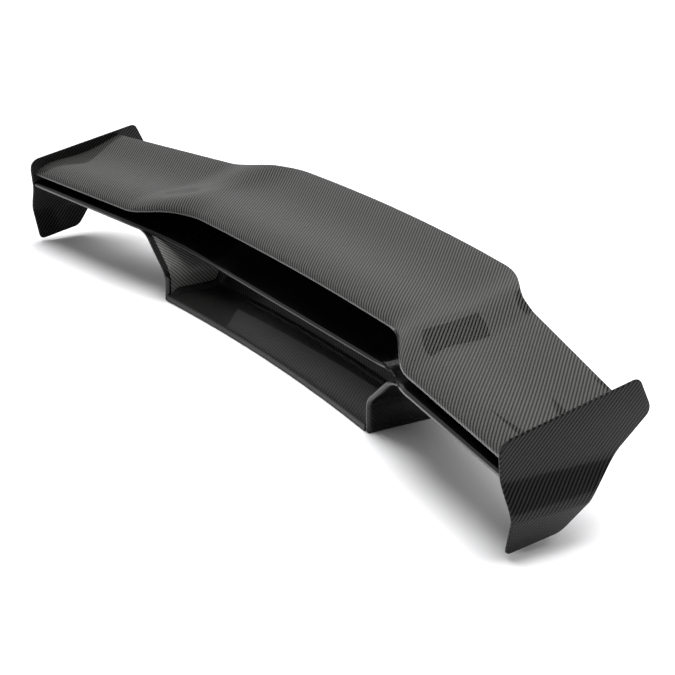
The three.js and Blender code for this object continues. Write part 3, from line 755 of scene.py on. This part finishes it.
# Ducktail base
tail = {
    "endX": 0.3902,
    "bow": 0.017,
    "wall": 0.003,
    "fillet": 0.014,
    "holdFront": (0.004, 0.03),
    "holdRear": (0.140, 0.150),
    "rearWallShare": 1.15,
    "sharpAngle": 40,
    "outline": [(0, 0), (0, 0.0075), (0.0012, 0.0103), (0.004, 0.0115), (0.045, 0.010),
                (0.090, 0.0105), (0.114, 0.012), (0.122, 0.0145), (0.128, 0.0215), (0.146, 0.061),
                (0.152, 0.066), (0.158, 0.067), (0.164, 0.063), (0.200, 0)],
}


def smoothOutline(points, rounds=3):
    # Corner cutting keeps the first and last points and softens every bend.
    points = np.array(points, float)
    for _ in range(rounds):
        first, last = points[0], points[-1]
        quarter = 0.75 * points[:-1] + 0.25 * points[1:]
        threeQuarter = 0.25 * points[:-1] + 0.75 * points[1:]
        points = np.vstack([first, np.stack([quarter, threeQuarter], 1).reshape(-1, 2), last])
    return points


def besideOutline(points, distance):
    tangent = np.gradient(points, axis=0)
    tangent /= np.linalg.norm(tangent, axis=1)[:, None]
    return points + distance * np.stack([tangent[:, 1], -tangent[:, 0]], 1)


def basePiece():
    outer = smoothOutline(tail["outline"])
    inner = besideOutline(outer, tail["wall"])
    inner[0] = (tail["wall"], 0)
    inner[-1] = (outer[-1, 0] - tail["wall"] * tail["rearWallShare"], 0)
    inner[:, 1] = np.maximum(inner[:, 1], 0)
    lengths = np.concatenate([[0], np.cumsum(np.hypot(*np.diff(outer, axis=0).T))])
    end, fillet = tail["endX"], tail["fillet"]
    flat = np.linspace(-end + fillet, end - fillet, 60)
    left = np.linspace(-end, -end + fillet, 14)[:-1]
    right = np.linspace(end - fillet, end, 14)[1:]
    xs = np.concatenate([left, flat, right])
    grown = besideOutline(outer, -1.0) - outer
    hold = smoothStep(outer[:, 0], *tail["holdFront"]) * (1 - smoothStep(outer[:, 0], *tail["holdRear"]))
    rings, weave = [], []
    for x in xs:
        beyond = max(0.0, abs(x) - (end - fillet))
        lift = fillet - math.sqrt(max(fillet ** 2 - beyond ** 2, 0))
        bow = baseFrontY + tail["bow"] * (1 - (x / end) ** 2)
        skinLine = outer + grown * (lift * hold)[:, None]
        loop = np.vstack([skinLine, inner[::-1]])
        rings.append(np.stack([np.full(len(loop), x), loop[:, 0] + bow, loop[:, 1] + baseBottomZ], 1))
        run = np.concatenate([lengths, lengths[::-1]])
        weave.append(np.stack([np.full(len(loop), x + math.copysign(lift, x)), run + bow], 1))
    return loftPiece("ducktailBase", toRow(np.array(rings)), np.array(weave), tail["sharpAngle"])


finishPiece(basePiece(), baseShadedTwill, "carbon_twill", "base_skin")
print("base built")

# Studio
studio = {
    "floor": (0.86, 0.86, 0.87),
    "floorReach": 30.0,
    "floorZ": -0.0005,
    "sky": 0.95,
    "sun": 4.6,
    "sunAngle": 1.0,
    "sunTurn": (-0.15, -0.2, 0),
    "strip": (2.0, 1.45, 2.6),
    "stripAim": (0.9, 0.0, 0.2),
    "stripSize": (1.4, 0.7),
    "stripPower": 22,
    "card": (-1.01, 0.93, 2.0),
    "cardAim": (0.48, 0.0, 0.2),
    "cardCorners": [(-0.48, -0.25, 0), (0.48, -0.20, 0), (0.48, 0.20, 0), (-0.48, 0.25, 0)],
}


def flatSheet(name, corners, color, roughness, specular):
    mesh = bpy.data.meshes.new(name)
    mesh.from_pydata(corners, [], [(0, 1, 2, 3)])
    sheet = bpy.data.objects.new(name, mesh)
    bpy.context.scene.collection.objects.link(sheet)
    material, _, shader = newMaterial(name + "Cloth")
    shader.inputs["Base Color"].default_value = (*color, 1)
    shader.inputs["Roughness"].default_value = roughness
    shader.inputs["Specular IOR Level"].default_value = specular
    mesh.materials.append(material)
    return sheet


def buildFloor():
    reach, z = studio["floorReach"], studio["floorZ"]
    corners = [(-reach, -reach, z), (reach, -reach, z), (reach, reach, z), (-reach, reach, z)]
    flatSheet("studioFloor", corners, studio["floor"], 0.9, 0.1)


def buildLights():
    # A broad soft sun kept out of the gloss, and a strip that only the rounded edges catch.
    sun = bpy.data.lights.new("softSun", "SUN")
    sun.energy = studio["sun"]
    sun.angle = studio["sunAngle"]
    lamp = bpy.data.objects.new("softSun", sun)
    lamp.rotation_euler = studio["sunTurn"]
    lamp.visible_glossy = False
    bpy.context.scene.collection.objects.link(lamp)
    strip = bpy.data.lights.new("edgeStrip", "AREA")
    strip.shape = "RECTANGLE"
    strip.size, strip.size_y = studio["stripSize"]
    strip.energy = studio["stripPower"]
    lamp = bpy.data.objects.new("edgeStrip", strip)
    lamp.location = studio["strip"]
    aim = Vector(studio["stripAim"]) - Vector(studio["strip"])
    lamp.rotation_euler = aim.to_track_quat("-Z", "Y").to_euler()
    bpy.context.scene.collection.objects.link(lamp)


def buildSky():
    # A bright tent overhead that falls off towards the horizon and towards the near side.
    world = bpy.data.worlds.new("studioSky")
    world.use_nodes = True
    tree = world.node_tree
    background = tree.nodes["Background"]
    background.inputs["Strength"].default_value = studio["sky"]
    direction = tree.nodes.new("ShaderNodeTexCoord")
    parts = tree.nodes.new("ShaderNodeSeparateXYZ")
    tree.links.new(direction.outputs["Generated"], parts.inputs[0])
    side = mathNode(tree, "MULTIPLY_ADD", parts.outputs["X"], -0.30, 0.0)
    height = mathNode(tree, "MULTIPLY_ADD", parts.outputs["Z"], 0.55, side)
    glow = tree.nodes.new("ShaderNodeMapRange")
    glow.interpolation_type = "SMOOTHSTEP"
    glow.inputs["From Min"].default_value = -0.15
    glow.inputs["From Max"].default_value = 0.60
    glow.inputs["To Min"].default_value = 0.10
    glow.inputs["To Max"].default_value = 0.55
    tree.links.new(height, glow.inputs["Value"])
    tree.links.new(glow.outputs["Result"], background.inputs["Color"])
    bpy.context.scene.world = world


def buildCamera():
    # Forward and up of the view, and the place it is seen from.
    view = {"forward": (-0.8016, 0.4789, -0.3579), "up": (-0.3073, 0.1835, 0.9338),
            "from": (2.928, -1.497, 1.130), "lens": 99.4, "shiftX": 0.0096}
    forward, up = Vector(view["forward"]).normalized(), Vector(view["up"]).normalized()
    right = forward.cross(up).normalized()
    up = right.cross(forward)
    camera = bpy.data.cameras.new("studioCamera")
    camera.lens = view["lens"]
    camera.sensor_width = 36
    camera.shift_x = view["shiftX"]
    eye = bpy.data.objects.new("studioCamera", camera)
    axes = Matrix((right, up, -forward)).transposed().to_4x4()
    eye.matrix_world = Matrix.Translation(Vector(view["from"]) + Vector((0, shiftY, shiftZ))) @ axes
    bpy.context.scene.collection.objects.link(eye)
    bpy.context.scene.camera = eye


def buildFlag():
    # Dark card seen only in the gloss of the near step, as beside a studio tent's opening.
    card = flatSheet("darkCard", studio["cardCorners"], (0.01, 0.01, 0.01), 1.0, 0.0)
    card.location = studio["card"]
    aim = Vector(studio["cardAim"]) - Vector(studio["card"])
    card.rotation_euler = aim.to_track_quat("Z", "X").to_euler()
    card.visible_camera = False
    card.visible_diffuse = False
    card.visible_shadow = False
    card.visible_transmission = False


buildFloor()
buildSky()
buildFlag()
buildLights()
buildCamera()
bpy.context.scene.view_settings.view_transform = "Standard"
print("studio built")
